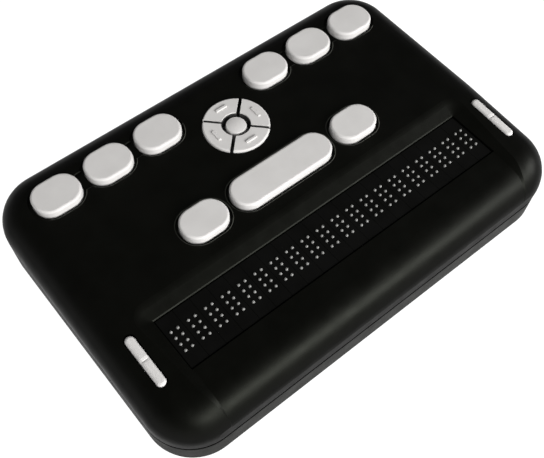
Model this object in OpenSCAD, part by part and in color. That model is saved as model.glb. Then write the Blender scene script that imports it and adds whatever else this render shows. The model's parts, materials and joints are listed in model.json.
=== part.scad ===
// Portable braille display: a two-part moulded case with eight dot keys, a space bar, a round
// navigation pad, two panning rockers and one line of eight-dot reading cells.
// The origin is the centre of the footprint on the table. +X runs along the braille line to the
// right, +Y to the back and +Z up. All sizes are in millimetres.

/* [Case] */
// Width of the case, left to right
case_w = 168; // [166:1:190]
// Depth of the case, front to back
case_d = 112; // [110:1:130]
// Plan radius of the case corners
corner_r = 17; // [15:0.5:20]
// Height of the key deck above the table
deck_z = 32.9; // [32:0.1:36]
// Radius of the rounded upper edge
edge_r = 12.5; // [10:0.5:13]
// Height of the line where the two shells meet
split_z = 15.5; // [15:0.1:17]
// Radius of the rounded lower edge
base_edge_r = 5.5; // [5:0.5:8]
// Wall thickness of the two shells
wall = 2.2; // [1.8:0.1:2.6]
// Thickness of the deck and of the floor
deck_t = 2.4; // [2:0.1:2.8]
// Slope of the front part of the deck, in degrees
deck_tilt = 2.6; // [0.5:0.1:4]
// Height of the rubber feet under the floor
foot_h = 0.8; // [0.5:0.1:1.5]
// Radius of a rubber foot
foot_r = 5; // [4:0.5:7]
// Height of the shadow groove along the line where the shells meet
groove_h = 0.9; // [0.4:0.1:1.2]

/* [Scoop] */
// Depth of the scoop round the braille line, below the deck
scoop_depth = 2.95; // [2:0.05:3.4]
// Width of the soft slope at the back and ends of the scoop
slope_w = 8; // [6:0.5:8.5]
// Radius of the front lip below the scoop
lip_r = 10.75; // [8:0.25:10.75]

/* [Braille line] */
// Distance from one cell to the next
cell_pitch = 6.43; // [6.2:0.01:6.5]
// Depth of a cell cap, front to back
cell_d = 19; // [17:0.5:20]
// Distance between two dots of a cell
dot_pitch = 2.5; // [2.3:0.05:2.6]
// Diameter of a reading pin
dot_d = 1; // [0.8:0.05:1.5]
// Height of a raised pin above the cap
dot_rise = 0.5; // [0.3:0.05:0.8]
// Distance that a pin sinks
dot_travel = 0.55; // [0.3:0.05:0.8]
// Depth of the caps below the scoop floor
cap_sink = 0.35; // [0.1:0.05:0.6]
// Thickness of a cell cap
cap_t = 1.2; // [0.8:0.1:1.6]
// Height of a cell actuator
actuator_h = 13.8; // [10:0.2:14]
// Distance from the front of the case to the middle of the braille line
line_inset = 28.5; // [27:0.5:30]

/* [Keys] */
// Width of a finger key
key_w = 16.8; // [15:0.1:17.5]
// Depth of a finger key
key_d = 13; // [12:0.1:14]
// Plan radius of the key corners
key_r = 6; // [4:0.1:6]
// Radius of the rounded upper edge of a key
key_edge_r = 0.9; // [0.4:0.1:1.2]
// Height of the keys above the deck
key_rise = 2.1; // [1.6:0.1:3]
// Distance that a key sinks
key_travel = 1.2; // [0.6:0.1:1.4]
// Gap between neighbouring keys
key_gap = 3.25; // [3.1:0.05:4]
// Distance from the middle of the case to the middle of the first finger key
first_key_x = 23.5; // [22:0.1:25]
// Distance from the back of the case to the middle of the first finger keys
finger_row_inset = 17.9; // [17.5:0.1:20]
// Distance that each finger key sits in front of its inner neighbour
finger_step = 0.3; // [0:0.05:0.6]
// Distance from the braille line to the middle of the thumb keys
thumb_row_offset = 27.5; // [27:0.5:30]
// Width of the side keys
side_key_w = 17.1; // [15:0.1:18]
// Depth of the side keys and the space bar
thumb_key_d = 12.5; // [12:0.1:13]
// Width of the space bar
space_w = 40.5; // [36:0.5:44]
// Width of the shallow well round the keys
well_w = 1.05; // [0.8:0.05:1.3]
// Depth of the shallow well round the keys
well_depth = 0.9; // [0.7:0.1:1.2]
// Radius of the rounded rim of that well
rim_r = 0.5; // [0.2:0.05:0.6]
// Depth, front to back, of the channel between the wells of two finger keys
neck_d = 7.2; // [5:0.1:8]
// Width of the flange that holds a key under the deck
flange_w = 0.9; // [0.6:0.1:1]
// Thickness of that flange
flange_t = 1.2; // [0.8:0.1:1.4]
// Wall thickness of a hollow key
key_wall = 1.6; // [1.2:0.1:2]

/* [Navigation pad] */
// Outer radius of the pad
pad_r = 11.8; // [11:0.1:12.5]
// Inner radius of the ring of four keys
ring_r = 5.2; // [4.8:0.1:5.6]
// Radius of the select key
select_r = 3.7; // [3.2:0.1:4]
// Gap between two keys of the ring
ring_gap = 1.3; // [0.8:0.1:1.8]
// Height of the pad above the deck
pad_rise = 0.8; // [0.4:0.1:1.5]
// Distance that a pad key sinks
pad_travel = 0.7; // [0.4:0.1:1]
// Distance from the thumb keys to the middle of the pad
pad_offset = 24.7; // [24:0.1:26]
// Length of the raised bar on each key of the ring
bar_l = 4.6; // [3:0.1:5]
// Width of that bar
bar_w = 1.1; // [0.8:0.1:1.4]
// Height of that bar
bar_h = 0.45; // [0.3:0.05:0.8]

/* [Rockers] */
// Width of a rocker
rocker_w = 3.3; // [2.8:0.1:3.6]
// Length of a rocker
rocker_l = 19.1; // [17:0.1:20]
// Distance from the end of the braille line to the middle of a rocker
rocker_offset = 9.55; // [9.3:0.05:10]
// Height of a rocker above the sloping deck
rocker_rise = 0.25; // [0.1:0.05:0.6]
// Swing of a rocker each way, in degrees
rocker_swing = 2.5; // [1:0.5:3]
// Diameter of the rocker's pivot pin
pivot_d = 1.5; // [1.2:0.1:1.8]

/* [Inside] */
// Thickness of the circuit boards
board_t = 1.6; // [1.2:0.1:1.8]
// Height of the main board's standoffs
standoff_h = 4; // [3.6:0.1:4.4]
// Thickness of the silicone mat
mat_t = 1; // [0.8:0.1:1.2]
// Height of a silicone dome
dome_h = 2.4; // [2.2:0.1:2.6]
// Width of the battery
battery_w = 60; // [50:1:66]
// Depth of the battery
battery_d = 34; // [30:1:36]
// Height of the battery
battery_h = 7; // [5:0.1:7.4]
// Radius of the power button
power_r = 2.2; // [1.8:0.1:2.4]
// Distance that the power button sinks
power_travel = 0.5; // [0.3:0.1:0.6]
// Width of the memory card socket
card_w = 27; // [26:0.5:30]
// Width of the USB port
usb_w = 8.9; // [8.6:0.1:9.4]
// Height of the USB port
usb_h = 3.2; // [2.8:0.1:3.4]
// Radius of the case screws' shanks
case_screw_r = 1.2; // [1:0.1:1.4]
// Radius of the board screws' shanks
board_screw_r = 0.9; // [0.8:0.05:1]

/* [Fits] */
// Gap round a moving key
key_clear = 0.3; // [0.2:0.05:0.4]
// Gap under the deck above a key's flange
seat_clear = 0.3; // [0.2:0.05:0.4]
// Gap between a key's stem and its dome
stem_clear = 0.1; // [0.05:0.05:0.3]
// Radial gap round a pin in its hole
pin_clear = 0.1; // [0.05:0.05:0.2]
// Radial gap round a pivot pin or a screw
shaft_clear = 0.05; // [0.02:0.01:0.1]
// Gap round fixed parts in their seats
part_clear = 0.3; // [0.2:0.05:0.4]

/* [Hidden] */
$fn = 64;
cell_count = 20;
dot_columns = 2;
dot_rows = 4;
key_names = [for (n = [1 : 8]) str("key_dot_", n)];
cell_names = [for (n = [1 : cell_count]) str("cell_", n < 10 ? "0" : "", n, "_pins")];

// Colours
shell_black = "#141414";
key_grey = "#cdcbc8";
pin_white = "#ecebe6";
cap_black = "#1b1b1b";
board_green = "#1e5a36";
metal_grey = "#b8babd";
dark_plastic = "#2a2a2c";
silicone_grey = "#8f9296";
rubber_black = "#202020";
battery_blue = "#3d5f86";
cable_white = "#d9d9d2";

// Overshoot of cuts past the faces they go through
past = 1;
far = 2 * case_w;
// Straight part kept between two round ends
end_flat = 0.05;
// Height that a rounded rim reaches above the face it runs out into
rim_over = 0.03;

// Levels of the case
front_y = -case_d / 2;
back_y = case_d / 2;
floor_z = foot_h + deck_t;
ceiling_z = deck_z - deck_t;
scoop_z = deck_z - scoop_depth;
scoop_ceiling_z = scoop_z - deck_t;
inner_w = case_w - 2 * wall;
inner_d = case_d - 2 * wall;
inner_r = corner_r - wall;
tongue_h = 1.6;
tongue_t = wall / 2;
groove_depth = 0.5;

// Rubber feet
foot_seat = 0.5;
foot_inset = 17;
foot_places = [for (x = [-1, 1], y = [-1, 1])
    [x * (case_w / 2 - foot_inset), y * (case_d / 2 - foot_inset)]];

// Places of the rows
line_y = front_y + line_inset;
thumb_row_y = line_y + thumb_row_offset;
finger_row_y = back_y - finger_row_inset;
pad_y = thumb_row_y + pad_offset;
side_key_x = space_w / 2 + key_gap + side_key_w / 2;
key_pitch = key_w + key_gap;
line_w = cell_count * cell_pitch;

// Scoop
slope_over = 0.1;
slope_h = scoop_depth + slope_over;
slope_head = 2;
slope_top = slope_h + slope_head;
slope_rake = 1.3;
slope_tilt = slope_rake * atan2(slope_h, slope_w);
brow_r = (slope_w * sin(slope_tilt) - slope_h * cos(slope_tilt)) / (1 - cos(slope_tilt));
brow_start = [slope_w - brow_r * sin(slope_tilt), slope_h - brow_r * (1 - cos(slope_tilt))];
scoop_edge_x = line_w / 2;
scoop_edge_y = line_y + cell_d / 2;

// Bend of the deck, and the line where its level and sloping faces would meet
kink_y = scoop_edge_y + slope_w;
bend_r = 40;
bend_reach = bend_r * tan(deck_tilt / 2);
bend_y = kink_y + bend_reach;
bend_z = deck_z - bend_r;

// Front lip
lip_overhang = 0.03;
lip_y = front_y - lip_overhang + lip_r;

// Reading cells
cap_top_z = scoop_z - cap_sink;
cap_low_z = cap_top_z - cap_t;
cell_gap = 0.1;
window_clear = 0.3;
window_bevel = 0.3;
pin_l = 5.2;
pin_pocket_depth = pin_l + dot_travel;
actuator_low_z = cap_low_z - actuator_h;
display_board_low_z = actuator_low_z - board_t;

// Keys and mat
key_end_flat = 0.5;
key_top_z = deck_z + key_rise;
flange_top_z = ceiling_z - seat_clear;
flange_low_z = flange_top_z - flange_t;
stem_r = 2.2;
dome_r = 4.2;
small_stem_r = 1.3;
small_dome_r = 2.3;
dome_wall = 0.7;
dome_top_ratio = 0.7;
dome_to_flange = 1.8;
dome_top_z = flange_low_z - dome_to_flange;
mat_inset = 0.6;
mat_top_z = dome_top_z - dome_h;
key_board_top_z = mat_top_z - mat_t;
ring_key_r = (pad_r + ring_r) / 2;
select_crown_r = 14;
select_edge_r = 1.2;
pad_edge_r = 0.6;
bar_corner_r = 0.35;
bar_edge_r = 0.25;

// Rockers
rocker_x = line_w / 2 + rocker_offset;
rocker_edge_r = 1.1;
rocker_bar_t = 3;
rocker_end_clear = 0.5;
rocker_notch = 0.35;
pivot_drop = 5.4;
rail_ceiling_z = deck_z - (kink_y - lip_y) * tan(deck_tilt) - deck_t;
rocker_mid_drop = (kink_y - line_y) * tan(deck_tilt);
pivot_z = deck_z - rocker_mid_drop - pivot_drop;
ear_t = 1.5;
ear_r = 1.8;
rocker_foot_y = 6.6;
rocker_foot_w = 2.2;
rocker_foot_drop = 1.2;
rocker_foot_z = pivot_z - rocker_foot_drop;
rocker_pad_r = 1.8;
rocker_board_top_z = rocker_foot_z - stem_clear - dome_h;
rocker_board_t = 1.2;
rocker_post_gap = 3.2;
rocker_post_y = rocker_l / 2 + rocker_post_gap;
rocker_board_w = 6;
rocker_post_r = 2;

// Screws, posts and towers
tower_r = 3.5;
case_head_r = 2.3;
case_head_h = 2;
counterbore_depth = 4.5;
case_bite = 7;
board_head_r = 1.7;
board_head_h = 1.2;
board_bite = 4;
post_r = 2.6;
back_tower_inset = 9.5;
side_tower_inset = 10;
side_tower_gap = 14;
front_tower_inset = [24, 10];
case_screw_places = concat(
    [[0, back_y - back_tower_inset]],
    [for (x = [-1, 1]) [x * (case_w / 2 - side_tower_inset), thumb_row_y + side_tower_gap]],
    [for (x = [-1, 1]) [x * (case_w / 2 - front_tower_inset[0]), front_y + front_tower_inset[1]]]
);
inner_post_x = pad_r + 12;
outer_post_x = side_key_x + side_key_w / 2 + 19;
key_post_y = thumb_row_y + thumb_key_d / 2 + 10.5;
key_post_places = [for (side = [-1, 1], x = [inner_post_x, outer_post_x]) [side * x, key_post_y]];
display_post_gap = 3.1;
display_post_y = 7;
display_post_places = [for (x = [-1, 1], y = [-1, 1])
    [x * (line_w / 2 + display_post_gap), line_y + y * display_post_y]];
rocker_post_places = [for (x = [-1, 1], y = [-1, 1]) [x * rocker_x, line_y + y * rocker_post_y]];

// Main board and what it carries
main_board_low_z = floor_z + standoff_h;
main_board_top_z = main_board_low_z + board_t;
main_board_gap = 21.5;
main_board_front_y = line_y + main_board_gap;
main_board_back_y = inner_d / 2 - part_clear;
main_board_side_gap = 12;
main_board_w = inner_w - 2 * main_board_side_gap;
main_board_hole_inset = 5;
main_board_back_inset = 8;
main_board_places = [for (x = [-1, 1],
        y = [main_board_front_y + main_board_hole_inset, main_board_back_y - main_board_back_inset])
    [x * (main_board_w / 2 - main_board_hole_inset), y]];
usb_x = -24;
usb_l = 7.4;
usb_wall = 0.35;
usb_back_t = 1;
usb_sink = 0.5;
usb_tongue = [usb_w - 2.4, 5, 0.7];
card_x = 26;
card_l = 25;
card_h = 3.4;
card_slot = [24.6, 22, 2.4];
card_mouth = [card_slot[0] + 1, card_slot[2] + 0.6];
card_sink = 0.8;
power_x = -52;
power_flange_w = 0.5;
power_z = main_board_top_z + power_r + power_flange_w + part_clear;
power_flange_t = 1;
power_stem_l = 1.4;
power_switch_size = [6, 4, 4.4];
power_switch_nub = [2, 0.8];

// Battery and its door
battery_edge_r = 1;
door_past = [10, 2.5];
door_w = battery_w + 2 * door_past[0];
door_d = battery_d + 2 * door_past[1];
door_r = 3;
door_t = 1.4;
door_screw_gap = 6;
door_screw_x = battery_w / 2 + door_screw_gap;
fence_t = 1.2;
fence_h = 4;
door_pad_r = 3;
door_pad_h = 4.5;

// Outlines of the key board and the display board
board_corner_r = 3;
key_board_past = [1.6, 3.4];
key_board_w = 2 * (first_key_x + 2 * key_pitch + dome_r + key_board_past[0]);
key_board_front_y = thumb_row_y - dome_r - key_board_past[1];
key_board_back_y = finger_row_y + dome_r + key_board_past[1];
display_board_past = [7, 2];
display_board_w = line_w + 2 * display_board_past[0];
display_board_d = cell_d + 2 * display_board_past[1];

// Flat cables
ribbon_t = 0.3;
ribbon_w = 16;
socket_past = 1.5;
socket_w = ribbon_w + 2 * socket_past;
socket_d = 3.4;
socket_h = 1.4;
key_ribbon_x = 30;
key_ribbon_y = thumb_row_y + 6;
display_ribbon_x = 44;
display_ribbon_back_y = main_board_front_y + 4;
display_ribbon_front_y = line_y + 5;
display_ribbon_z = (main_board_top_z + display_board_low_z) / 2;

// Outline of a rectangle with round corners
module rounded_rect(w, d, r) {
    square([w - 2 * r, d], center = true);
    square([w, d - 2 * r], center = true);
    for (x = [-1, 1], y = [-1, 1])
        translate([x * (w / 2 - r), y * (d / 2 - r)]) circle(r);
}

module rounded_plate(w, d, r, low, high) {
    translate([0, 0, low]) linear_extrude(high - low) rounded_rect(w, d, r);
}

// Upright disc between two levels
module disc(r, low, high) {
    translate([0, 0, low]) cylinder(r = r, h = high - low);
}

// Upright section from a corner's centre to its outer face, with a round upper edge
module edge_section(r, f, low, high) {
    intersection() {
        union() {
            translate([0, low]) square([r, high - f - low]);
            translate([0, low]) square([r - f, high - low]);
            translate([r - f, high - f]) circle(f);
        }
        translate([0, low]) square([r, high - low]);
    }
}

module block_section(w, r, f, low, high) {
    for (side = [0, 1])
        mirror([side, 0]) translate([w / 2 - r, 0]) edge_section(r, f, low, high);
    translate([-w / 2 + r, low]) square([w - 2 * r, high - low]);
}

// Block with round corners in plan and a round upper edge
module soft_block(w, d, r, f, low, high) {
    rotate([90, 0, 0]) linear_extrude(d - 2 * r, center = true) block_section(w, r, f, low, high);
    rotate([90, 0, 90]) linear_extrude(w - 2 * r, center = true) block_section(d, r, f, low, high);
    for (x = [-1, 1], y = [-1, 1])
        translate([x * (w / 2 - r), y * (d / 2 - r), 0])
            rotate_extrude() edge_section(r, f, low, high);
}

// The same block with the round edge below
module soft_tray(w, d, r, f, low, high) {
    mirror([0, 0, 1]) soft_block(w, d, r, f, -high, -low);
}

// Turns what is drawn for a level deck into the sloping front part of the deck
module on_slope() {
    translate([0, bend_y, bend_z]) rotate([deck_tilt, 0, 0]) translate([0, -bend_y, -bend_z]) children();
}

// Upper shell from outside, before the scoop: level at the back, then a soft bend, then a slope
module shell_form() {
    front_l = (kink_y - front_y + (deck_z - split_z) * tan(deck_tilt)) * cos(deck_tilt) - bend_reach;
    low_z = split_z - edge_r;
    intersection() {
        union() {
            intersection() {
                soft_block(case_w, case_d, corner_r, edge_r, low_z, deck_z);
                translate([-far / 2, bend_y, 0]) cube(far);
            }
            translate([0, bend_y, bend_z]) rotate([0, -90, 0]) rotate(-deck_tilt)
                rotate_extrude(angle = deck_tilt) rotate(-90)
                    block_section(case_w, corner_r, edge_r, low_z - bend_z, bend_r);
            on_slope() intersection() {
                translate([0, bend_y - front_l - front_y, 0])
                    soft_block(case_w, case_d, corner_r, edge_r, low_z, deck_z);
                translate([-far / 2, bend_y - far, 0]) cube(far);
            }
        }
        translate([-far / 2, front_y, split_z]) cube(far);
    }
}

// Space above the scoop's soft slope: a flat face below and a round brow above
module slope_space() {
    polygon([[0, 0], brow_start, [brow_start[0], slope_top], [0, slope_top]]);
    difference() {
        translate([brow_start[0], 0]) square([slope_w - brow_start[0], slope_top]);
        translate([slope_w, slope_h - brow_r]) circle(brow_r);
    }
}

// Body of revolution that the front lip is cut to: a roll that thickens towards both ends
module lip_roll() {
    translate([0, lip_y, scoop_z - lip_r]) rotate([0, 90, 0]) rotate_extrude() {
        translate([0, -scoop_edge_x - slope_w]) square([lip_r, 2 * (scoop_edge_x + slope_w)]);
        for (side = [0, 1])
            mirror([0, side]) translate([lip_r, scoop_edge_x]) mirror([1, -1]) difference() {
                square([slope_w, slope_h]);
                slope_space();
            }
    }
}

// What is taken away round the braille line
module scoop() {
    span_y = scoop_edge_y - lip_y;
    translate([0, 0, scoop_z]) {
        translate([-scoop_edge_x, lip_y, 0]) cube([2 * scoop_edge_x, span_y, slope_top]);
        for (side = [0, 1])
            mirror([side, 0, 0]) translate([scoop_edge_x, scoop_edge_y, 0]) {
                rotate([90, 0, 0]) linear_extrude(span_y) slope_space();
                rotate_extrude(angle = 90) slope_space();
            }
        translate([-scoop_edge_x, scoop_edge_y, 0])
            rotate([90, 0, 90]) linear_extrude(2 * scoop_edge_x) slope_space();
    }
    difference() {
        translate([-scoop_edge_x - slope_w, front_y - past, scoop_z - lip_r])
            cube([2 * (scoop_edge_x + slope_w), lip_y - front_y + past, lip_r + slope_top]);
        lip_roll();
    }
}

// Hollow of the upper shell, lower under the scoop and the sloping rails
module shell_hollow() {
    difference() {
        soft_block(inner_w, inner_d, inner_r, edge_r - wall, split_z - past, ceiling_z);
        translate([-far / 2, -far + kink_y, rail_ceiling_z]) cube(far);
        translate([-scoop_edge_x - slope_w, -far + kink_y, scoop_ceiling_z])
            cube([2 * (scoop_edge_x + slope_w), far, far]);
        shell_posts();
    }
}

// Posts that hang from the deck and carry the boards, the pivots and the case screws
module shell_posts() {
    for (place = case_screw_places) translate(place) disc(tower_r, split_z, deck_z);
    for (place = key_post_places) translate(place) disc(post_r, key_board_top_z, deck_z);
    for (place = display_post_places) translate(place) disc(post_r, actuator_low_z, deck_z);
    for (place = rocker_post_places) translate(place) disc(rocker_post_r, rocker_board_top_z, deck_z);
    for (side = [-1, 1], edge = [-1, 1])
        translate([side * rocker_x + edge * (rocker_w / 2 + key_clear + ear_t / 2), line_y, pivot_z])
            rotate([0, 90, 0]) linear_extrude(ear_t, center = true) {
                circle(ear_r);
                translate([-deck_z, -ear_r]) square([deck_z, 2 * ear_r]);
            }
}

// Pilot holes of the screws that bite into the upper shell
module shell_pilots() {
    case_pilot = case_screw_r + shaft_clear;
    board_pilot = board_screw_r + shaft_clear;
    for (place = case_screw_places)
        translate(place) disc(case_pilot, split_z - past, split_z + case_bite + past);
    for (place = key_post_places)
        translate(place) disc(board_pilot, key_board_top_z - past, key_board_top_z + board_bite);
    for (place = display_post_places)
        translate(place) disc(board_pilot, actuator_low_z - past, actuator_low_z + board_bite);
    for (place = rocker_post_places)
        translate(place) disc(board_pilot, rocker_board_top_z - past, rocker_board_top_z + board_bite);
    for (side = [-1, 1])
        translate([side * rocker_x, line_y, pivot_z]) rotate([0, 90, 0])
            cylinder(d = pivot_d, h = rocker_w + 2 * (key_clear + ear_t), center = true);
}

// Place of a dot key: dots 1 to 3 on the left, 4 to 6 on the right, 7 and 8 beside the space bar
function dot_key_place(n) =
    n <= 3 ? [-first_key_x - (n - 1) * key_pitch, finger_row_y - (n - 1) * finger_step] :
    n <= 6 ? [first_key_x + (n - 4) * key_pitch, finger_row_y - (n - 4) * finger_step] :
    [n == 7 ? -side_key_x : side_key_x, thumb_row_y];
function dot_key_size(n) = n <= 6 ? [key_w, key_d] : [side_key_w, thumb_key_d];
function key_corner_r(size) = min(key_r, (size[1] - key_end_flat) / 2);

// Upright section of a well from its middle to its wall, with a rounded rim at the top
module well_section(r) {
    low_z = deck_z - well_depth;
    rim_z = deck_z + rim_over;
    translate([0, low_z]) square([r, rim_z + past - low_z]);
    difference() {
        translate([0, rim_z - rim_r]) square([r + rim_r, rim_r + past]);
        translate([r + rim_r, rim_z - rim_r]) circle(rim_r);
    }
}

// Straight stretch of a well, with a rounded rim along both sides
module well_run(w, l) {
    rotate([90, 0, 0]) linear_extrude(l, center = true)
        for (side = [0, 1]) mirror([side, 0]) well_section(w / 2);
}

// Well round a key, with round corners in plan
module key_well(size) {
    w = size[0] + 2 * well_w;
    d = size[1] + 2 * well_w;
    r = key_corner_r(size) + well_w;
    well_run(w, d - 2 * r);
    rotate(90) well_run(d, w - 2 * r);
    for (x = [-1, 1], y = [-1, 1])
        translate([x * (w / 2 - r), y * (d / 2 - r), 0]) rotate_extrude() well_section(r);
}

// Outline of a key, grown by a margin
module key_outline(size, margin) {
    rounded_rect(size[0] + 2 * margin, size[1] + 2 * margin, key_corner_r(size) + margin);
}

// All key outlines in their places, grown by a margin
module all_key_outlines(margin) {
    for (n = [1 : 8]) translate(dot_key_place(n)) key_outline(dot_key_size(n), margin);
    translate([0, thumb_row_y]) key_outline([space_w, thumb_key_d], margin);
    translate([0, pad_y]) circle(pad_r + margin);
}

// Section of the window over the cells: upright walls, bevelled where the floor and the slope begin
module window_section() {
    half = cell_d / 2 + window_clear;
    translate([-half, split_z]) square([2 * half, far]);
    for (corner = [[-half, scoop_z - window_bevel], [half, scoop_z]])
        translate(corner) rotate(45) square(3 * window_bevel);
}

// Openings of the upper shell for the keys, the pad, the rockers and the cells
module shell_openings() {
    for (n = [1 : 8]) translate(dot_key_place(n)) key_well(dot_key_size(n));
    translate([0, thumb_row_y]) key_well([space_w, thumb_key_d]);
    for (n = [1, 2, 4, 5])
        translate((dot_key_place(n) + dot_key_place(n + 1)) / 2)
            rotate(90) well_run(neck_d, key_gap + 2 * well_w);
    translate([0, 0, split_z]) linear_extrude(far) all_key_outlines(key_clear);
    translate([0, line_y, 0]) rotate([90, 0, 90])
        linear_extrude(line_w + 2 * window_clear, center = true) window_section();
    for (side = [-1, 1])
        translate([side * rocker_x, line_y, split_z]) linear_extrude(far)
            rounded_rect(rocker_w + 2 * key_clear, rocker_l + 2 * rocker_end_clear,
                (rocker_w - end_flat) / 2 + key_clear);
}

module top_housing() color(shell_black) difference() {
    shell_form();
    scoop();
    shell_hollow();
    shell_openings();
    shell_pilots();
    rounded_plate(inner_w + 2 * tongue_t, inner_d + 2 * tongue_t, inner_r + tongue_t,
        split_z - past, split_z + tongue_h + shaft_clear);
}

// Towers and standoffs that rise from the floor
module floor_posts() {
    for (place = case_screw_places) translate(place) disc(tower_r, foot_h, split_z);
    for (place = main_board_places) translate(place) disc(post_r, foot_h, main_board_low_z);
    for (side = [-1, 1])
        translate([side * door_screw_x, line_y]) disc(door_pad_r, foot_h, floor_z + door_pad_h);
    translate([0, line_y, foot_h]) linear_extrude(floor_z - foot_h + fence_h) difference() {
        bay = [battery_w + 2 * part_clear, battery_d + 2 * part_clear];
        square([bay[0] + 2 * fence_t, bay[1] + 2 * fence_t], center = true);
        square(bay, center = true);
    }
}

// Cut-outs of the back wall
module back_ports() {
    translate([usb_x, back_y, main_board_top_z + usb_h / 2]) rotate([90, 0, 0])
        linear_extrude(2 * wall, center = true)
            rounded_rect(usb_w + 2 * part_clear, usb_h + 2 * part_clear,
                (usb_h - end_flat) / 2 + part_clear);
    translate([card_x, back_y, main_board_top_z + card_h / 2])
        cube([card_mouth[0], 3 * wall, card_mouth[1]], center = true);
    translate([power_x, back_y, power_z]) rotate([90, 0, 0])
        cylinder(r = power_r + key_clear, h = 3 * wall, center = true);
}

module bottom_housing() color(shell_black) difference() {
    union() {
        soft_tray(case_w, case_d, corner_r, base_edge_r, foot_h, split_z);
        rounded_plate(inner_w + 2 * (tongue_t - shaft_clear), inner_d + 2 * (tongue_t - shaft_clear),
            inner_r + tongue_t - shaft_clear, split_z - past, split_z + tongue_h - shaft_clear);
    }
    difference() {
        soft_tray(inner_w, inner_d, inner_r, base_edge_r - wall, floor_z, split_z + tongue_h + past);
        floor_posts();
    }
    difference() {
        rounded_plate(case_w + past, case_d + past, corner_r + past / 2, split_z - groove_h, split_z);
        rounded_plate(case_w - 2 * groove_depth, case_d - 2 * groove_depth, corner_r - groove_depth,
            split_z - groove_h - past, split_z + past);
    }
    back_ports();
    for (place = case_screw_places) translate(place) {
        disc(case_screw_r + part_clear, foot_h, split_z + past);
        disc(case_head_r + part_clear, foot_h - past, foot_h + counterbore_depth);
    }
    for (place = main_board_places)
        translate(place) disc(board_screw_r + shaft_clear, main_board_low_z - board_bite, split_z);
    for (place = foot_places)
        translate(place) disc(foot_r + shaft_clear, foot_h - past, foot_h + foot_seat);
    translate([0, line_y, 0]) {
        rounded_plate(door_w + 2 * part_clear, door_d + 2 * part_clear, door_r + part_clear,
            foot_h - past, foot_h + door_t + shaft_clear);
        translate([-battery_w / 2 - part_clear, -battery_d / 2 - part_clear, foot_h])
            cube([battery_w + 2 * part_clear, battery_d + 2 * part_clear, floor_z]);
        for (side = [-1, 1])
            translate([side * door_screw_x, 0])
                disc(board_screw_r + shaft_clear, foot_h, foot_h + door_t + board_bite + past / 2);
    }
}

// Screws: a pan head below and a shank that points up
module screw(head_r, head_h, shank_r, shank_l) {
    translate([0, 0, -head_h]) cylinder(r = head_r, h = head_h);
    cylinder(r = shank_r, h = shank_l);
}

module housing_screws() color(metal_grey)
    for (place = case_screw_places)
        translate([place[0], place[1], foot_h + counterbore_depth])
            screw(case_head_r, case_head_h, case_screw_r, split_z + case_bite - foot_h - counterbore_depth);

// Rubber feet, set into shallow seats in the floor
module rubber_feet() color(rubber_black)
    for (place = foot_places) translate(place) disc(foot_r, 0, foot_h + foot_seat);

// Battery door: a plate in the floor with a raised panel that closes the battery bay
module battery_door() color(shell_black) translate([0, line_y, 0]) difference() {
    union() {
        rounded_plate(door_w, door_d, door_r, foot_h, foot_h + door_t);
        rounded_plate(battery_w, battery_d, door_r, foot_h, floor_z);
    }
    for (side = [-1, 1]) translate([side * door_screw_x, 0]) {
        disc(board_screw_r + part_clear, foot_h - past, floor_z);
        disc(board_head_r + part_clear, foot_h - past, foot_h + door_t / 2);
    }
}

module battery_door_screws() color(metal_grey)
    for (side = [-1, 1])
        translate([side * door_screw_x, line_y, foot_h + door_t / 2])
            screw(board_head_r, door_t / 2, board_screw_r, door_t / 2 + board_bite);

module battery_pack() color(battery_blue)
    translate([0, line_y, 0])
        soft_block(battery_w - part_clear, battery_d - part_clear, door_r, battery_edge_r,
            floor_z, floor_z + battery_h);

module main_board() color(board_green) difference() {
    translate([0, (main_board_front_y + main_board_back_y) / 2, 0])
        rounded_plate(main_board_w, main_board_back_y - main_board_front_y, board_corner_r,
            main_board_low_z, main_board_top_z);
    for (place = main_board_places)
        translate(place) disc(board_screw_r + part_clear, main_board_low_z - past, main_board_top_z + past);
    for (place = case_screw_places)
        translate(place) disc(tower_r + part_clear, main_board_low_z - past, main_board_top_z + past);
}

// Board screws: upright ones in the floor's standoffs, hanging ones in the deck's posts
module board_screws() color(metal_grey) {
    for (place = main_board_places)
        translate([place[0], place[1], main_board_top_z]) mirror([0, 0, 1])
            screw(board_head_r, board_head_h, board_screw_r, board_t + board_bite - past);
    for (place = key_post_places)
        translate([place[0], place[1], key_board_top_z - board_t])
            screw(board_head_r, board_head_h, board_screw_r, board_t + board_bite - past);
    for (place = display_post_places)
        translate([place[0], place[1], display_board_low_z])
            screw(board_head_r, board_head_h, board_screw_r, board_t + board_bite - past);
    for (place = rocker_post_places)
        translate([place[0], place[1], rocker_board_top_z - rocker_board_t])
            screw(board_head_r, board_head_h, board_screw_r, rocker_board_t + board_bite - past);
}

// USB port: a stadium-shaped shell with a tongue in its middle
module usb_port() color(metal_grey)
    translate([usb_x, back_y - usb_sink, main_board_top_z + usb_h / 2]) rotate([90, 0, 0]) {
        difference() {
            linear_extrude(usb_l) rounded_rect(usb_w, usb_h, (usb_h - end_flat) / 2);
            translate([0, 0, -past]) linear_extrude(past + usb_l - usb_back_t)
                rounded_rect(usb_w - 2 * usb_wall, usb_h - 2 * usb_wall, (usb_h - end_flat) / 2 - usb_wall);
        }
        translate([-usb_tongue[0] / 2, -usb_tongue[2] / 2, usb_l - usb_back_t - usb_tongue[1]])
            cube([usb_tongue[0], usb_tongue[2], usb_tongue[1] + usb_back_t / 2]);
    }

// Memory card socket: a flat metal box, open to the back
module card_socket() color(metal_grey)
    translate([card_x, back_y - wall - card_sink, main_board_top_z]) difference() {
        translate([-card_w / 2, -card_l, 0]) cube([card_w, card_l, card_h]);
        translate([-card_slot[0] / 2, -card_slot[1], (card_h - card_slot[2]) / 2])
            cube([card_slot[0], card_slot[1] + past, card_slot[2]]);
    }

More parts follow.
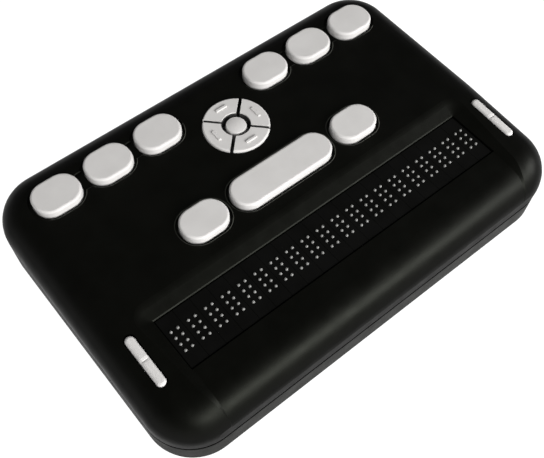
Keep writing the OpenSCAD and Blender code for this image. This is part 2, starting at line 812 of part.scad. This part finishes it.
// Power button: a flush round key in the back wall, kept in by its flange
module power_button() color(key_grey)
    translate([power_x, back_y, power_z]) rotate([90, 0, 0]) {
        cylinder(r = power_r, h = wall + seat_clear + power_flange_t);
        translate([0, 0, wall + seat_clear]) cylinder(r = power_r + power_flange_w, h = power_flange_t);
        cylinder(r = power_r / 2, h = wall + seat_clear + power_flange_t + power_stem_l);
    }

// Tactile switch behind the power button
module power_switch() color(dark_plastic) {
    nub_y = back_y - wall - seat_clear - power_flange_t - power_stem_l - power_travel - stem_clear;
    translate([power_x, nub_y - power_switch_nub[1], 0]) {
        translate([-power_switch_size[0] / 2, -power_switch_size[1], main_board_top_z])
            cube(power_switch_size);
        translate([0, 0, power_z]) rotate([-90, 0, 0])
            cylinder(r = power_switch_nub[0] / 2, h = power_switch_nub[1]);
    }
}

// Places of all silicone domes under keys, with the radius of each
dome_places = concat(
    [for (n = [1 : 8]) concat(dot_key_place(n), dome_r)],
    [for (side = [-1, 1]) [side * space_w / 4, thumb_row_y, dome_r]],
    [for (turn = [0 : 3]) [ring_key_r * cos(90 * turn), pad_y + ring_key_r * sin(90 * turn), small_dome_r]],
    [[0, pad_y, small_dome_r]]
);

// Outline of the key board, cut back round the case posts
module key_board_outline(margin) {
    difference() {
        translate([0, (key_board_front_y + key_board_back_y) / 2])
            rounded_rect(key_board_w + 2 * margin, key_board_back_y - key_board_front_y + 2 * margin,
                board_corner_r);
        for (place = case_screw_places) translate(place) circle(tower_r + part_clear - margin);
    }
}

module key_board() color(board_green)
    translate([0, 0, key_board_top_z - board_t]) linear_extrude(board_t) difference() {
        key_board_outline(0);
        for (place = key_post_places) translate(place) circle(board_screw_r + part_clear);
    }

// Hollow collapsing dome that stands on the mat
module dome(r) {
    translate([0, 0, mat_top_z]) cylinder(r1 = r, r2 = r * dome_top_ratio, h = dome_h);
}

module dome_hollow(r) {
    translate([0, 0, key_board_top_z - past])
        cylinder(r = r - dome_wall, h = mat_t + past);
    translate([0, 0, mat_top_z])
        cylinder(r1 = r - dome_wall, r2 = r * dome_top_ratio - dome_wall, h = dome_h - dome_wall);
}

module key_mat() color(silicone_grey) difference() {
    union() {
        translate([0, 0, key_board_top_z]) linear_extrude(mat_t) difference() {
            key_board_outline(-mat_inset);
            for (place = key_post_places) translate(place) circle(post_r + part_clear);
        }
        for (place = dome_places) translate([place[0], place[1], 0]) dome(place[2]);
    }
    for (place = dome_places) translate([place[0], place[1], 0]) dome_hollow(place[2]);
}

// Key: a hollow cap with a soft upper edge, a flange under the deck and stems down to the domes
module key(size, stem_xs) {
    difference() {
        union() {
            soft_block(size[0], size[1], key_corner_r(size), key_edge_r, flange_low_z, key_top_z);
            translate([0, 0, flange_low_z]) linear_extrude(flange_t) key_outline(size, flange_w);
        }
        translate([0, 0, flange_low_z - past])
            linear_extrude(key_top_z - key_wall - flange_low_z + past) key_outline(size, -key_wall);
    }
    for (x = stem_xs) translate([x, 0, 0]) disc(stem_r, dome_top_z + stem_clear, key_top_z - key_wall / 2);
}

module key_dot(n) color(key_grey) translate(dot_key_place(n)) key(dot_key_size(n), [0]);

module key_space() color(key_grey)
    translate([0, thumb_row_y]) key([space_w, thumb_key_d], [-space_w / 4, space_w / 4]);

// Key of the navigation ring, turned to its direction
module ring_key(turn) color(key_grey) translate([0, pad_y, 0]) rotate(90 * turn) {
    pad_top_z = deck_z + pad_rise;
    intersection() {
        rotate_extrude() edge_section(pad_r, pad_edge_r, flange_low_z, pad_top_z);
        translate([0, 0, flange_low_z]) linear_extrude(far) ring_outline(pad_r + past);
    }
    translate([0, 0, flange_low_z]) linear_extrude(flange_t) ring_outline(pad_r + flange_w);
    translate([ring_key_r, 0, 0]) {
        disc(small_stem_r, dome_top_z + stem_clear, flange_low_z + flange_t);
        soft_block(bar_w, bar_l, bar_corner_r, bar_edge_r, pad_top_z - bar_h, pad_top_z + bar_h);
    }
}

module ring_outline(r) {
    intersection() {
        difference() {
            circle(r);
            circle(ring_r);
        }
        rotate(-45) translate([ring_gap / 2, ring_gap / 2]) square(2 * pad_r);
    }
}

// Round select key with a low crown
module nav_select() color(key_grey) translate([0, pad_y, 0]) {
    crown_z = deck_z + pad_rise;
    rotate_extrude() intersection() {
        edge_section(select_r, select_edge_r, flange_low_z, crown_z);
        translate([0, crown_z - select_crown_r]) circle(select_crown_r);
    }
    disc(small_stem_r, dome_top_z + stem_clear, flange_low_z + flange_t);
}

// Rocker: a round-ended bar on a pivot, with a notch across its middle and a foot under each end
module rocker(side) color(key_grey) translate([side * rocker_x, 0, 0]) difference() {
    union() {
        translate([0, line_y, deck_z - rocker_mid_drop]) rotate([deck_tilt, 0, 0]) difference() {
            soft_block(rocker_w, rocker_l, (rocker_w - end_flat) / 2, rocker_edge_r,
                rocker_rise - rocker_bar_t, rocker_rise);
            translate([0, 0, rocker_rise]) rotate([45, 0, 0])
                cube([2 * rocker_w, rocker_notch, rocker_notch], center = true);
        }
        rocker_top_z = deck_z - rocker_mid_drop + rocker_rise - rocker_bar_t / 2;
        translate([0, line_y, pivot_z]) rotate([0, 90, 0]) linear_extrude(rocker_w, center = true) {
            circle(ear_r);
            translate([pivot_z - rocker_top_z, -ear_r]) square([rocker_top_z - pivot_z, 2 * ear_r]);
        }
        for (end = [-1, 1])
            translate([-rocker_foot_w / 2, line_y + end * rocker_foot_y - rocker_foot_w / 2, rocker_foot_z])
                cube([rocker_foot_w, rocker_foot_w, rocker_top_z - rocker_foot_z]);
    }
    translate([0, line_y, pivot_z]) rotate([0, 90, 0])
        cylinder(d = pivot_d + 2 * shaft_clear, h = 2 * rocker_w, center = true);
}

module rocker_pins() color(metal_grey)
    for (side = [-1, 1])
        translate([side * rocker_x, line_y, pivot_z]) rotate([0, 90, 0])
            cylinder(d = pivot_d, h = rocker_w + 2 * (key_clear + ear_t), center = true);

module rocker_boards() color(board_green)
    for (side = [-1, 1])
        translate([side * rocker_x, line_y, rocker_board_top_z - rocker_board_t])
            linear_extrude(rocker_board_t) difference() {
                square([rocker_board_w, 2 * (rocker_post_y + rocker_post_r)], center = true);
                for (end = [-1, 1]) translate([0, end * rocker_post_y]) circle(board_screw_r + part_clear);
            }

// Silicone domes under the rocker ends
module rocker_pads() color(silicone_grey)
    for (side = [-1, 1], end = [-1, 1])
        translate([side * rocker_x, line_y + end * rocker_foot_y, rocker_board_top_z]) difference() {
            cylinder(r1 = rocker_pad_r, r2 = rocker_pad_r * dome_top_ratio, h = dome_h);
            translate([0, 0, -past])
                cylinder(r = rocker_pad_r * dome_top_ratio - dome_wall, h = dome_h - dome_wall + past);
        }

module display_board() color(board_green) difference() {
    translate([0, line_y, 0])
        rounded_plate(display_board_w, display_board_d, board_corner_r,
            display_board_low_z, actuator_low_z);
    for (place = display_post_places)
        translate(place)
            disc(board_screw_r + part_clear, display_board_low_z - past, actuator_low_z + past);
}

// Middle of a cell, counted from the left
function cell_x(n) = (n - (cell_count + 1) / 2) * cell_pitch;

// Places of a cell's dots round its middle
dot_places = [for (column = [0 : dot_columns - 1], row = [0 : dot_rows - 1])
    [(column - (dot_columns - 1) / 2) * dot_pitch, (row - (dot_rows - 1) / 2) * dot_pitch]];

// Actuators, each with a pocket for the lower ends of its pins
module cell_actuators() color(dark_plastic)
    for (n = [1 : cell_count]) translate([cell_x(n), line_y, 0]) difference() {
        translate([-cell_pitch / 2 + cell_gap, -cell_d / 2 + cell_gap, actuator_low_z])
            cube([cell_pitch - 2 * cell_gap, cell_d - 2 * cell_gap, actuator_h]);
        translate([0, 0, cap_low_z - pin_pocket_depth + past])
            linear_extrude(pin_pocket_depth)
                square([(dot_columns - 1) * dot_pitch + dot_d + 2 * part_clear,
                    (dot_rows - 1) * dot_pitch + dot_d + 2 * part_clear], center = true);
    }

module cell_caps() color(cap_black)
    for (n = [1 : cell_count]) translate([cell_x(n), line_y, cap_low_z])
        linear_extrude(cap_t) difference() {
            square([cell_pitch - cell_gap, cell_d], center = true);
            for (place = dot_places) translate(place) circle(d = dot_d + 2 * pin_clear);
        }

// Reading pin with a round tip
module reading_pin() {
    tip_z = cap_top_z + dot_rise - dot_d / 2;
    translate([0, 0, cap_top_z + dot_rise - pin_l]) cylinder(d = dot_d, h = pin_l - dot_d / 2);
    translate([0, 0, tip_z]) sphere(d = dot_d);
}

module cell_pins(n) color(pin_white)
    translate([cell_x(n), line_y, 0]) for (place = dot_places) translate(place) reading_pin();

// Flat cable that stands between the main board and the key board
module key_ribbon() color(cable_white)
    translate([key_ribbon_x - ribbon_w / 2, key_ribbon_y - ribbon_t / 2, main_board_top_z + socket_h / 2])
        cube([ribbon_w, ribbon_t, key_board_top_z - board_t - main_board_top_z - socket_h]);

// Flat cable from the main board over to the display board: up, across and up again
module display_ribbon() color(cable_white)
    translate([display_ribbon_x, 0, 0]) rotate([90, 0, 90]) linear_extrude(ribbon_w, center = true) {
        low_z = main_board_top_z + socket_h / 2;
        high_z = display_board_low_z - socket_h / 2;
        half = ribbon_t / 2;
        translate([display_ribbon_back_y - half, low_z])
            square([ribbon_t, display_ribbon_z + half - low_z]);
        translate([display_ribbon_front_y - half, display_ribbon_z - half])
            square([display_ribbon_back_y - display_ribbon_front_y + ribbon_t, ribbon_t]);
        translate([display_ribbon_front_y - half, display_ribbon_z - half])
            square([ribbon_t, high_z - display_ribbon_z + half]);
    }

// Socket of a flat cable, with a slot from above
module ribbon_socket() {
    difference() {
        translate([-socket_w / 2, -socket_d / 2, 0]) cube([socket_w, socket_d, socket_h]);
        translate([-ribbon_w / 2 - part_clear, -ribbon_t, socket_h / 2])
            cube([ribbon_w + 2 * part_clear, 2 * ribbon_t, socket_h]);
    }
}

module ribbon_sockets() color(dark_plastic) {
    translate([key_ribbon_x, key_ribbon_y, main_board_top_z]) ribbon_socket();
    translate([key_ribbon_x, key_ribbon_y, key_board_top_z - board_t]) mirror([0, 0, 1]) ribbon_socket();
    translate([display_ribbon_x, display_ribbon_back_y, main_board_top_z]) ribbon_socket();
    translate([display_ribbon_x, display_ribbon_front_y, display_board_low_z])
        mirror([0, 0, 1]) ribbon_socket();
}

top_housing();
bottom_housing();
housing_screws();
rubber_feet();
battery_door();
battery_door_screws();
battery_pack();
main_board();
board_screws();
usb_port();
card_socket();
power_button();
power_switch();
key_board();
key_mat();
key_space();
ring_key(0);  // nav_right
ring_key(1);  // nav_up
ring_key(2);  // nav_left
ring_key(3);  // nav_down
nav_select();
rocker(-1);  // rocker_left
rocker(1);  // rocker_right
rocker_pins();
rocker_boards();
rocker_pads();
display_board();
cell_actuators();
cell_caps();
key_ribbon();
display_ribbon();
ribbon_sockets();
for (n = [1 : 8]) key_dot(n);
for (n = [1 : cell_count]) cell_pins(n);
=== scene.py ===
"""Looks of a portable braille display: materials, light and camera round its CAD model."""

import json
import math

import bpy
from mathutils import Matrix, Vector


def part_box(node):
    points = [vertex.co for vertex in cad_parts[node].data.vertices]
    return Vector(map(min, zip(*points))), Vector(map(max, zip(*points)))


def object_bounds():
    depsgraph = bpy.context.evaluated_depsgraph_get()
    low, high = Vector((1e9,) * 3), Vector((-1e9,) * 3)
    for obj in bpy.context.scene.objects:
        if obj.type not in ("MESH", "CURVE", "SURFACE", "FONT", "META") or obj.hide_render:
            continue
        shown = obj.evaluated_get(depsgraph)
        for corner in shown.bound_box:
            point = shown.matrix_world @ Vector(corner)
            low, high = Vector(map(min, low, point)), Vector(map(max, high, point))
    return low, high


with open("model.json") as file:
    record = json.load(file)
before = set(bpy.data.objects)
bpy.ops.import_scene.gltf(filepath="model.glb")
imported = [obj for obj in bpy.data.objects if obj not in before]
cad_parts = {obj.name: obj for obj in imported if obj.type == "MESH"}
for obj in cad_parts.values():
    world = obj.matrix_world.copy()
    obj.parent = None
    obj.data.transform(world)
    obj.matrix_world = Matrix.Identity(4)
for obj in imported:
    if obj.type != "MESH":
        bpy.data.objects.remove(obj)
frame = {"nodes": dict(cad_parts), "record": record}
cad_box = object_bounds()
nodes = frame["nodes"]
MM = 0.001

# Small helpers for shader trees
UNSTRETCHED = (1, 1, 1)
FLATTENED = (1, 1, 0)
WAVE_RADIANS = 20  # turn of a wave texture of scale 1 along one metre
COLOUR_STOPS = (0.35, 0.65)
NOISE_SPAN = (0.3, 0.7)


def new_material(name):
    """Material with its node tree and its shader."""
    made = bpy.data.materials.new(name)
    made.use_nodes = True
    return made, made.node_tree, shader_of(made)


def shader_of(material):
    """Shader at the end of a material's tree."""
    return material.node_tree.nodes["Principled BSDF"]


def place_on_object(tree, stretch=UNSTRETCHED):
    """Object coordinates, stretched along some axes."""
    place = tree.nodes.new("ShaderNodeTexCoord")
    mapping = tree.nodes.new("ShaderNodeMapping")
    mapping.inputs["Scale"].default_value = stretch
    tree.links.new(place.outputs["Object"], mapping.inputs["Vector"])
    return mapping.outputs["Vector"]


def along(tree, axis):
    """Place of a point along one axis of the object."""
    place = tree.nodes.new("ShaderNodeSeparateXYZ")
    tree.links.new(place_on_object(tree), place.inputs["Vector"])
    return place.outputs[axis]


def noise(tree, size, detail=2.0, stretch=UNSTRETCHED):
    """Noise whose patches measure about size metres."""
    texture = tree.nodes.new("ShaderNodeTexNoise")
    texture.inputs["Scale"].default_value = 1 / size
    texture.inputs["Detail"].default_value = detail
    tree.links.new(place_on_object(tree, stretch), texture.inputs["Vector"])
    return texture.outputs["Fac"]


def stripes(tree, pitch, axis):
    """Straight stripes across one axis, pitch metres apart."""
    texture = tree.nodes.new("ShaderNodeTexWave")
    texture.bands_direction = axis
    texture.inputs["Scale"].default_value = math.tau / (WAVE_RADIANS * pitch)
    tree.links.new(place_on_object(tree), texture.inputs["Vector"])
    return texture.outputs["Fac"]


def mixed_colour(tree, factor, low, high):
    """Colour that runs from low to high as the factor crosses its middle."""
    ramp = tree.nodes.new("ShaderNodeValToRGB")
    for stop, place, colour in zip(ramp.color_ramp.elements, COLOUR_STOPS, (low, high)):
        stop.position = place
        stop.color = (*colour, 1)
    tree.links.new(factor, ramp.inputs["Fac"])
    return ramp.outputs["Color"]


def map_range(tree, value, source, target):
    """Value carried from one span to another and held at its ends."""
    ramp = tree.nodes.new("ShaderNodeMapRange")
    ends = ("From Min", "From Max", "To Min", "To Max")
    for end, number in zip(ends, (*source, *target)):
        ramp.inputs[end].default_value = number
    tree.links.new(value, ramp.inputs["Value"])
    return ramp.outputs["Result"]


def bump(tree, height, depth):
    """Relief of a given depth."""
    node = tree.nodes.new("ShaderNodeBump")
    node.inputs["Distance"].default_value = depth
    tree.links.new(height, node.inputs["Height"])
    return node.outputs["Normal"]


def calculate(tree, operation, *terms):
    """Result of an operation on sockets and plain numbers."""
    node = tree.nodes.new("ShaderNodeMath")
    node.operation = operation
    for socket, term in zip(node.inputs, terms):
        if isinstance(term, bpy.types.NodeSocket):
            tree.links.new(term, socket)
        else:
            socket.default_value = term
    return node.outputs["Value"]


def within(tree, value, middle, reach):
    """1 where a value lies within reach of a middle, 0 elsewhere."""
    return calculate(tree, "COMPARE", value, middle, reach)


def shade(tree, socket, factor):
    """Multiply what reaches a socket by a factor."""
    product = tree.nodes.new("ShaderNodeVectorMath")
    product.operation = "MULTIPLY"
    tree.links.new(socket.links[0].from_socket, product.inputs[0])
    tree.links.new(factor, product.inputs[1])
    tree.links.new(product.outputs["Vector"], socket)


def feed(tree, shader, colour, rough, relief):
    """Link a surface's colour, roughness and relief to its shader."""
    tree.links.new(colour, shader.inputs["Base Color"])
    tree.links.new(rough, shader.inputs["Roughness"])
    tree.links.new(relief, shader.inputs["Normal"])


# Painted light and shade: each function gives a share of light or a mask
SEAM_SHADE_TOP = 0.9 * MM
SEAM_SHADE_FOOT = 1.9 * MM
SEAM_SHADE_LIGHT = 0.2
NOTCH_LINES = ((0.6 * MM, 0.32), (-0.4 * MM, -0.16))
NOTCH_REACH = 0.45 * MM
RIM_SLOPE = 0.62
RIM_SLOPE_REACH = 0.34
RIM_REGION = (("X", 0, 70 * MM), ("Y", 13.6 * MM, 23.4 * MM))
GAP_PAINTED_SHADE = 0.93


def seam_painted_shade(tree, seam):
    """Painted shade under the parting line: share of light little at the rim, all of it further down.
    """
    return map_range(tree, along(tree, "Z"), (seam - SEAM_SHADE_FOOT, seam - SEAM_SHADE_TOP), (1, SEAM_SHADE_LIGHT))


def notch_painted_light(tree, middle):
    """Share of light at a rocker's notch: a painted highlight on its rear edge and painted shade before
    it.
    """
    factor = 1
    for offset, gain in NOTCH_LINES:
        inside = within(tree, along(tree, "Y"), middle + offset, NOTCH_REACH)
        factor = calculate(tree, "MULTIPLY_ADD", inside, gain, factor)
    return factor


def well_rims(tree):
    """1 on the rounded rims of the key wells, where raised gloss paints a highlight, 0 elsewhere.

    The rims are the sloping faces between the scoop and the rear edge.
    """
    shape = tree.nodes.new("ShaderNodeNewGeometry")
    facing = tree.nodes.new("ShaderNodeSeparateXYZ")
    tree.links.new(shape.outputs["Normal"], facing.inputs["Vector"])
    mask = within(tree, facing.outputs["Z"], RIM_SLOPE, RIM_SLOPE_REACH)
    for axis, middle, reach in RIM_REGION:
        mask = calculate(tree, "MULTIPLY", mask, within(tree, along(tree, axis), middle, reach))
    return mask


def gap_painted_shade(tree, middle, reach, level):
    """Share of light on the navigation ring.

    It is painted shade: little light on the walls of the ring's gaps, below a level and inside a reach.
    """
    off = tree.nodes.new("ShaderNodeVectorMath")
    off.operation = "DISTANCE"
    tree.links.new(place_on_object(tree, FLATTENED), off.inputs[0])
    off.inputs[1].default_value = (*middle, 0)
    inner = within(tree, off.outputs["Value"], 0, reach)
    low = within(tree, along(tree, "Z"), 0, level)
    walls = calculate(tree, "MULTIPLY", inner, low)
    return calculate(tree, "MULTIPLY_ADD", walls, -GAP_PAINTED_SHADE, 1)


# Materials
CLOUD_SIZE = 9 * MM
CLOUD_DETAIL = 4
PATCH_SIZE = 5 * MM
PATCH_DETAIL = 3
PLASTIC_GLOSS = 0.5
BLACK_GRAIN = 0.25 * MM
BLACK_GRAIN_DEPTH = 0.004 * MM
BLACK_GRAZING = (0.2, 0.5)
BLACK_GLOSS = (0.08, 0.022)
BLACK_GLOSS_TINT = (0.95, 1, 0.85, 1)
DRAWN_LINE = 0.4 * MM
DRAWN_DETAIL = 3
DRAWN_DEPTH = 0.002 * MM
FILM_PATCH_SIZE = 3 * MM
FILM_PATCH_DETAIL = 3


def moulded(name, low, high, rough, grain, depth, specular=PLASTIC_GLOSS):
    """Moulded plastic or rubber: cloudy colour, uneven gloss and a fine grain."""
    made, tree, shader = new_material(name)
    cloud = noise(tree, CLOUD_SIZE, CLOUD_DETAIL)
    patches = noise(tree, PATCH_SIZE, PATCH_DETAIL)
    feed(tree, shader,
         colour=mixed_colour(tree, cloud, low, high),
         rough=map_range(tree, patches, NOISE_SPAN, rough),
         relief=bump(tree, noise(tree, grain), depth))
    shader.inputs["Specular IOR Level"].default_value = specular
    return made


def black_plastic(name, low, high, rough, seam=None, rims=0):
    """Black moulded plastic whose gloss falls off towards a grazing view.

    It has painted shade under a seam, and raised gloss that paints a highlight on the rims of the key
    wells.
    """
    made = moulded(name, low, high, rough, BLACK_GRAIN, BLACK_GRAIN_DEPTH)
    tree = made.node_tree
    shader = shader_of(made)
    view = tree.nodes.new("ShaderNodeLayerWeight")
    gloss = map_range(tree, view.outputs["Facing"], BLACK_GRAZING, BLACK_GLOSS)
    # Painted highlight: raised gloss on the rims of the key wells brightens their highlight line
    if rims:
        gloss = calculate(tree, "MULTIPLY_ADD", well_rims(tree), rims, gloss)
    tree.links.new(gloss, shader.inputs["Specular IOR Level"])
    shader.inputs["Specular Tint"].default_value = BLACK_GLOSS_TINT
    # Painted shade under the parting line: colour and gloss darkened below the seam
    if seam:
        unshaded_share = seam_painted_shade(tree, seam)
        for socket in ("Base Color", "Specular IOR Level"):
            shade(tree, shader.inputs[socket], unshaded_share)
    return made


def steel(name, low, high, rough, stretch):
    """Metal with fine drawn lines."""
    made, tree, shader = new_material(name)
    lines = noise(tree, DRAWN_LINE, DRAWN_DETAIL, stretch)
    feed(tree, shader,
         colour=mixed_colour(tree, lines, low, high),
         rough=map_range(tree, lines, NOISE_SPAN, rough),
         relief=bump(tree, lines, DRAWN_DEPTH))
    shader.inputs["Metallic"].default_value = 1
    return made


def striped(name, pitch, axis, low, high, rough, depth):
    """Surface with straight raised lines: tracks of a board, leads of a flat cable."""
    made, tree, shader = new_material(name)
    lines = stripes(tree, pitch, axis)
    patches = noise(tree, FILM_PATCH_SIZE, FILM_PATCH_DETAIL)
    feed(tree, shader,
         colour=mixed_colour(tree, lines, low, high),
         rough=map_range(tree, patches, NOISE_SPAN, rough),
         relief=bump(tree, lines, depth))
    return made


grey_keys = {
    "low": (0.61, 0.595, 0.58), "high": (0.65, 0.635, 0.62),
    "rough": (0.45, 0.55), "grain": 0.3 * MM, "depth": 0.004 * MM, "specular": 0.3,
}
looks = {
    "case_black": (black_plastic, {
        "low": (0.0010, 0.0010, 0.0007), "high": (0.0018, 0.0018, 0.0014),
        "rough": (0.36, 0.44), "rims": 1.0,
    }),
    "base_black": (black_plastic, {
        "low": (0.014, 0.014, 0.013), "high": (0.018, 0.018, 0.017),
        "rough": (0.4, 0.5), "seam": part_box("top_housing")[0][2],
    }),
    "key_grey": (moulded, grey_keys),
    # The rocker and ring finishes are copies of the key grey that get painted light below
    "rocker_grey": (moulded, grey_keys),
    "ring_grey": (moulded, grey_keys),
    "pin_white": (moulded, {
        "low": (0.21, 0.21, 0.20), "high": (0.235, 0.235, 0.225),
        "rough": (0.35, 0.45), "grain": 0.2 * MM, "depth": 0.002 * MM,
    }),
    "cap_black": (moulded, {
        "low": (0.0024, 0.0024, 0.0021), "high": (0.0034, 0.0034, 0.0031),
        "rough": (0.42, 0.5), "grain": 0.2 * MM, "depth": 0.003 * MM, "specular": 0.05,
    }),
    "foot_rubber": (moulded, {
        "low": (0.012, 0.012, 0.012), "high": (0.018, 0.018, 0.018),
        "rough": (0.75, 0.85), "grain": 0.4 * MM, "depth": 0.02 * MM, "specular": 0.3,
    }),
    "silicone": (moulded, {
        "low": (0.40, 0.41, 0.42), "high": (0.46, 0.47, 0.48),
        "rough": (0.5, 0.6), "grain": 0.5 * MM, "depth": 0.005 * MM,
    }),
    "dark_plastic": (moulded, {
        "low": (0.016, 0.016, 0.017), "high": (0.024, 0.024, 0.026),
        "rough": (0.4, 0.5), "grain": 0.3 * MM, "depth": 0.005 * MM,
    }),
    "battery_wrap": (moulded, {
        "low": (0.10, 0.14, 0.22), "high": (0.13, 0.17, 0.26),
        "rough": (0.22, 0.32), "grain": 6 * MM, "depth": 0.05 * MM,
    }),
    "screw_steel": (steel, {
        "low": (0.42, 0.42, 0.43), "high": (0.52, 0.52, 0.53),
        "rough": (0.25, 0.35), "stretch": (1, 1, 0.2),
    }),
    "port_steel": (steel, {
        "low": (0.58, 0.58, 0.59), "high": (0.68, 0.68, 0.69),
        "rough": (0.2, 0.3), "stretch": (0.1, 1, 1),
    }),
    "board_green": (striped, {
        "low": (0.008, 0.06, 0.025), "high": (0.014, 0.085, 0.036),
        "rough": (0.3, 0.4), "pitch": 0.8 * MM, "axis": "X", "depth": 0.02 * MM,
    }),
    "flat_cable": (striped, {
        "low": (0.55, 0.53, 0.48), "high": (0.30, 0.28, 0.25),
        "rough": (0.3, 0.4), "pitch": 1 * MM, "axis": "X", "depth": 0.01 * MM,
    }),
}
finishes = {name: make(name, **values) for name, (make, values) in looks.items()}


def dress(name, finish):
    """Give a piece its finish."""
    for slot in nodes[name].material_slots:
        slot.material = finish


def shade_colour(finish, share, *where):
    """Multiply a finish's colour by a share of light."""
    tree = finish.node_tree
    shade(tree, shader_of(finish).inputs["Base Color"], share(tree, *where))


for piece in frame["record"]["subparts"]:
    dress(piece["node"], finishes[piece["material_slot"]])

# Rockers: a painted highlight line and a painted shade line at the notch
rocker_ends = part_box("rocker_left")
notch_middle = (rocker_ends[0][1] + rocker_ends[1][1]) / 2
shade_colour(finishes["rocker_grey"], notch_painted_light, notch_middle)
for name in ("rocker_left", "rocker_right"):
    dress(name, finishes["rocker_grey"])

# Navigation ring: painted shade on the walls in its gaps
ring_keys = ("nav_up", "nav_down", "nav_left", "nav_right")
ring_low = Vector([min(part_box(name)[0][axis] for name in ring_keys) for axis in range(3)])
ring_high = Vector([max(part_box(name)[1][axis] for name in ring_keys) for axis in range(3)])
ring_middle = (ring_low + ring_high) / 2
ring_reach = 11.4 * MM
ring_rim = 1.0 * MM
shade_colour(finishes["ring_grey"], gap_painted_shade, ring_middle.xy, ring_reach, ring_high.z - ring_rim)
for name in ring_keys:
    dress(name, finishes["ring_grey"])

# Light
PANEL_DISTANCE = 1.1
ROOM_GREY = 0.28


def area_light(name, place, aim, width, height, radiance, lights=True):
    """Soft panel whose face has the given brightness; one that doesn't light is only seen in gloss."""
    lamp = bpy.data.lights.new(name, "AREA")
    lamp.shape = "RECTANGLE"
    lamp.size = width
    lamp.size_y = height
    lamp.energy = radiance * math.pi * width * height
    panel = bpy.data.objects.new(name, lamp)
    panel.location = place
    panel.rotation_euler = (Vector(aim) - Vector(place)).to_track_quat("-Z", "Y").to_euler()
    panel.visible_diffuse = lights
    bpy.context.scene.collection.objects.link(panel)


def seen_from(azimuth, elevation, distance):
    """Point in a direction from the object: azimuth 0 is in front, 90 to the right."""
    a = math.radians(azimuth)
    e = math.radians(elevation)
    return Vector((math.sin(a) * math.cos(e), -math.cos(a) * math.cos(e), math.sin(e))) * distance


deck_middle = (0, 0, cad_box[1][2])
area_light("front_panel", seen_from(azimuth=8, elevation=27, distance=PANEL_DISTANCE), deck_middle,
           width=1.3, height=0.42, radiance=13)
area_light("right_panel", seen_from(azimuth=60, elevation=18, distance=PANEL_DISTANCE), deck_middle,
           width=0.4, height=0.4, radiance=16, lights=False)

world = bpy.data.worlds.new("studio")
bpy.context.scene.world = world
world.use_nodes = True
world.node_tree.nodes["Background"].inputs["Color"].default_value = (ROOM_GREY, ROOM_GREY, ROOM_GREY, 1)

# White floor
FLOOR_WHITE = (0.9, 0.9, 0.9, 1)
FLOOR_ROUGHNESS = 0.9
FLOOR_GLOW = 1.2


def white_floor(reach, level, glow_share):
    """Floor that glows towards the camera and in mirrors, and keeps a trace of the object's shadow."""
    mesh = bpy.data.meshes.new("floor")
    corners = [(x * reach, y * reach, level) for x, y in ((-1, -1), (1, -1), (1, 1), (-1, 1))]
    mesh.from_pydata(corners, [], [(0, 1, 2, 3)])
    floor = bpy.data.objects.new("floor", mesh)
    bpy.context.scene.collection.objects.link(floor)
    made, tree, shader = new_material("floor_white")
    shader.inputs["Base Color"].default_value = FLOOR_WHITE
    shader.inputs["Roughness"].default_value = FLOOR_ROUGHNESS
    shader.inputs["Specular IOR Level"].default_value = 0
    glow = tree.nodes.new("ShaderNodeEmission")
    glow.inputs["Strength"].default_value = FLOOR_GLOW
    path = tree.nodes.new("ShaderNodeLightPath")
    seen = path.outputs["Is Camera Ray"]
    for ray in ("Is Glossy Ray", "Is Transmission Ray"):
        seen = calculate(tree, "MAXIMUM", seen, path.outputs[ray])
    mix = tree.nodes.new("ShaderNodeMixShader")
    tree.links.new(calculate(tree, "MULTIPLY", seen, glow_share), mix.inputs["Fac"])
    tree.links.new(shader.outputs["BSDF"], mix.inputs[1])
    tree.links.new(glow.outputs["Emission"], mix.inputs[2])
    tree.links.new(mix.outputs["Shader"], tree.nodes["Material Output"].inputs["Surface"])
    mesh.materials.append(made)
    return floor


white_floor(reach=3, level=-0.05 * MM, glow_share=0.85)

# Camera
image_w = 544
focal_px = 742.3
sensor_w = 36
lens_shift = (-0.0173, 0.1079)
place = Vector((-98.34, -112.73, 234.71)) * MM
look = Vector((0.30933, 0.34538, -0.88602))
roll = math.radians(2.87)
camera_data = bpy.data.cameras.new("camera")
camera_data.sensor_width = sensor_w
camera_data.lens = focal_px / image_w * sensor_w
camera_data.shift_x, camera_data.shift_y = lens_shift
camera = bpy.data.objects.new("camera", camera_data)
bpy.context.scene.collection.objects.link(camera)
camera.matrix_world = (Matrix.Translation(place) @ look.to_track_quat("-Z", "Y").to_matrix().to_4x4()
                       @ Matrix.Rotation(roll, 4, "Z"))
bpy.context.scene.camera = camera
bpy.context.scene.view_settings.view_transform = "Standard"
